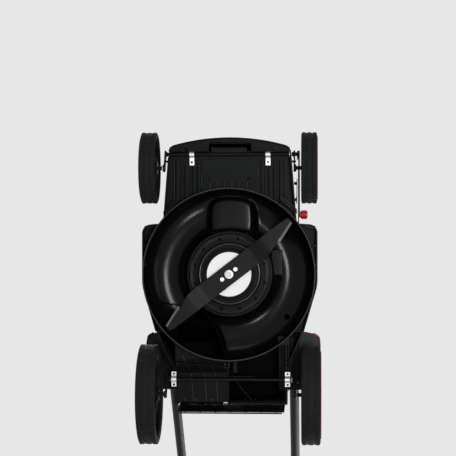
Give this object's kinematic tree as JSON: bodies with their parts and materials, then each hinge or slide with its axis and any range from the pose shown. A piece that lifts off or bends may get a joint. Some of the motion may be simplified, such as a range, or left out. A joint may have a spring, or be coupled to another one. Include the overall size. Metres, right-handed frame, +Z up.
{
  "type": "cordless lawn mower",
  "caption": "Cordless rotary lawn mower with a round cutting chamber, height-adjustable wheels, rear discharge, battery bay and folding handle.",
  "frame": {"origin": "on the ground, under the middle of the bounding box of the whole mower in its working position", "axes": "+Z up, +Y towards the front of the mower, +X to the right of a person who walks behind it"},
  "size_m": [0.464, 1.273, 1.031],
  "materials": {
    "black_plastic": "near-black moulded plastic, semi-gloss",
    "dark_plate": "dark grey plastic with a slight green cast",
    "black_metal": "black powder coat",
    "blade_steel": "black painted steel with a ground cutting edge",
    "zinc_steel": "bright zinc plate",
    "aluminium": "cast aluminium",
    "copper": "copper winding",
    "white_plastic": "white plastic",
    "red_plastic": "red moulded plastic",
    "tyre": "black tyre rubber",
    "grip_foam": "black foam rubber"
  },
  "bodies": {
    "mower": {"deck_shell": "black_plastic", "tunnel_floor": "black_plastic", "front_plate": "dark_plate", "hood": "black_plastic", "motor_flange": "black_metal", "motor_can": "black_metal", "stator": "copper", "bearing_lower": "zinc_steel", "bearing_upper": "zinc_steel", "controller": "aluminium", "battery_bay": "black_plastic", "height_quadrant": "black_metal", "shoulder_trim_right": "red_plastic", "shoulder_trim_left": "red_plastic", "front_clip_right": "zinc_steel", "front_clip_left": "zinc_steel", "rear_clip_right": "zinc_steel", "rear_clip_left": "zinc_steel", "handle_bolt_right": "zinc_steel", "handle_bolt_left": "zinc_steel", "flap_pin": "zinc_steel", "flap_spring": "zinc_steel"},
    "rotor": {"blade": "blade_steel", "blade_disc": "white_plastic", "blade_bolt": "zinc_steel", "motor_shaft": "zinc_steel", "rotor_core": "black_metal", "drive_pin_front": "zinc_steel", "drive_pin_rear": "zinc_steel"},
    "front_axle_body": {"front_axle": "black_metal", "height_lever": "black_metal", "lever_knob": "red_plastic"},
    "rear_axle_body": {"rear_axle": "black_metal"},
    "link": {"link_rod": "zinc_steel"},
    "front_right_wheel": {"front_right_tyre": "tyre", "front_right_rim": "black_plastic", "front_right_trim": "red_plastic"},
    "front_left_wheel": {"front_left_tyre": "tyre", "front_left_rim": "black_plastic", "front_left_trim": "red_plastic"},
    "rear_right_wheel": {"rear_right_tyre": "tyre", "rear_right_rim": "black_plastic", "rear_right_trim": "red_plastic"},
    "rear_left_wheel": {"rear_left_tyre": "tyre", "rear_left_rim": "black_plastic", "rear_left_trim": "red_plastic"},
    "lid": {"battery_lid": "black_plastic"},
    "battery": {"battery_pack": "dark_plate"},
    "key": {"safety_key": "red_plastic"},
    "flap": {"rear_flap": "black_plastic"},
    "lower_handle": {"lower_tube_right": "black_metal", "lower_tube_left": "black_metal"},
    "upper_handle_body": {"upper_handle": "black_metal", "grip": "grip_foam", "switch_box": "black_plastic", "bail_mount": "black_plastic"},
    "knob_right": {"clamp_knob_right": "red_plastic"},
    "knob_left": {"clamp_knob_left": "red_plastic"},
    "bail_lever": {"bail": "red_plastic"},
    "button": {"start_button": "dark_plate"}
  },
  "joints": [
    {"name": "blade_spin", "type": "hinge", "parent": "mower", "child": "rotor", "pos_m": [0, 0.27845, 0.068], "axis": [0, 0, 1], "continuous": true},
    {"name": "cutting_height", "type": "hinge", "parent": "mower", "child": "front_axle_body", "pos_m": [0, 0.58244, 0.11702], "axis": [1, 0, 0], "range_deg": [-47, 32]},
    {"name": "rear_axle_swing", "type": "hinge", "parent": "mower", "child": "rear_axle_body", "pos_m": [0, 0.00644, 0.15402], "axis": [1, 0, 0], "range_deg": [-47, 32]},
    {"name": "link_swing", "type": "hinge", "parent": "front_axle_body", "child": "link", "pos_m": [-0.171, 0.57617, 0.16461], "axis": [1, 0, 0], "range_deg": [-32, 47]},
    {"name": "front_right_spin", "type": "hinge", "parent": "front_axle_body", "child": "front_right_wheel", "pos_m": [0.181, 0.54645, 0.09], "axis": [1, 0, 0], "continuous": true},
    {"name": "front_left_spin", "type": "hinge", "parent": "front_axle_body", "child": "front_left_wheel", "pos_m": [-0.181, 0.54645, 0.09], "axis": [1, 0, 0], "continuous": true},
    {"name": "rear_right_spin", "type": "hinge", "parent": "rear_axle_body", "child": "rear_right_wheel", "pos_m": [0.181, -0.02955, 0.127], "axis": [1, 0, 0], "continuous": true},
    {"name": "rear_left_spin", "type": "hinge", "parent": "rear_axle_body", "child": "rear_left_wheel", "pos_m": [-0.181, -0.02955, 0.127], "axis": [1, 0, 0], "continuous": true},
    {"name": "lid_hinge", "type": "hinge", "parent": "mower", "child": "lid", "pos_m": [0, 0.41645, 0.26611], "axis": [-1, 0, 0], "range_deg": [0, 75]},
    {"name": "battery_lift", "type": "slide", "parent": "mower", "child": "battery", "axis": [0, 0, 1], "range_m": [0, 0.012]},
    {"name": "key_pull", "type": "slide", "parent": "mower", "child": "key", "axis": [0, 0, 1], "range_m": [0, 0.02]},
    {"name": "flap_hinge", "type": "hinge", "parent": "mower", "child": "flap", "pos_m": [0, -0.06855, 0.27], "axis": [-1, 0, 0], "range_deg": [0, 80], "stiffness_Nm_per_rad": 0.15, "springref_deg": -20.05},
    {"name": "handle_fold", "type": "hinge", "parent": "mower", "child": "lower_handle", "pos_m": [0, -0.01155, 0.325], "axis": [-1, 0, 0], "range_deg": [0, 127]},
    {"name": "upper_fold", "type": "hinge", "parent": "lower_handle", "child": "upper_handle_body", "pos_m": [0, -0.33273, 0.68171], "axis": [1, 0, 0], "range_deg": [0, 175]},
    {"name": "knob_right_turn", "type": "hinge", "parent": "upper_handle_body", "child": "knob_right", "pos_m": [0.161, -0.33273, 0.68171], "axis": [1, 0, 0], "continuous": true},
    {"name": "knob_left_turn", "type": "hinge", "parent": "upper_handle_body", "child": "knob_left", "pos_m": [-0.161, -0.33273, 0.68171], "axis": [1, 0, 0], "continuous": true},
    {"name": "bail_pull", "type": "hinge", "parent": "upper_handle_body", "child": "bail_lever", "pos_m": [0, -0.54016, 0.91208], "axis": [1, 0, 0], "range_deg": [0, 25], "stiffness_Nm_per_rad": 0.6, "springref_deg": -22.92},
    {"name": "start_press", "type": "slide", "parent": "upper_handle_body", "child": "button", "axis": [0, -0.7431, -0.6691], "range_m": [0, 0.004], "stiffness_N_per_m": 400, "springref_m": -0.003}
  ],
  "couplings": [
    {"joint": "rear_axle_swing", "follows": "cutting_height", "ratio": 1},
    {"joint": "link_swing", "follows": "cutting_height", "ratio": -1}
  ]
}
